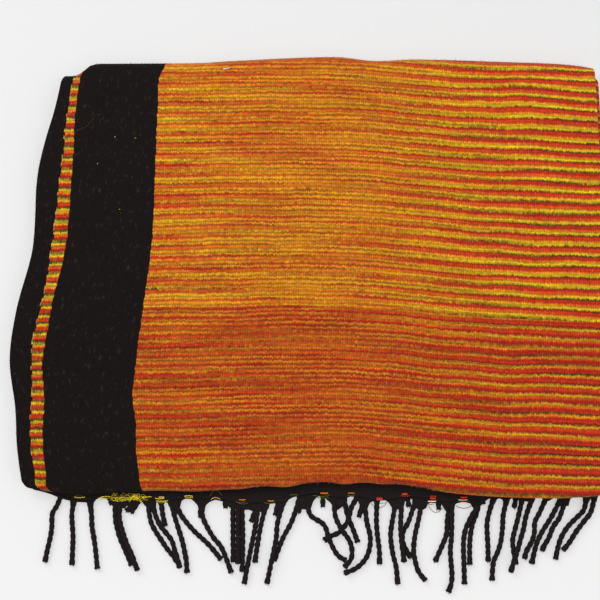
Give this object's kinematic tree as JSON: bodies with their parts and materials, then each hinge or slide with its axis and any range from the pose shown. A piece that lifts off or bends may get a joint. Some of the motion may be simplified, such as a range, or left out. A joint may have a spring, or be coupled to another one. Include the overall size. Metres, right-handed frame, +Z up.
{
  "type": "folded wool blanket",
  "caption": "Woven wool blanket with striped field, dark borders and corded fringe, folded into a flat rectangular pack that rests on a surface.",
  "frame": {"origin": "middle of the folded blanket's underside, on the surface that it rests on", "axes": "+X from the selvedges to the fold across the width, +Y from the fringed hems to the back fold, +Z up through the layers"},
  "size_m": [0.6601, 0.599, 0.0235],
  "materials": {
    "woven_wool": "striped weft-faced wool weave, matte and slightly fuzzy",
    "black_wool": "plied black wool cords, matte and slightly fuzzy"
  },
  "bodies": {
    "root": {"woven_cloth": "woven_wool", "fringe_lower": "black_wool", "fringe_upper": "black_wool"}
  },
  "joints": []
}
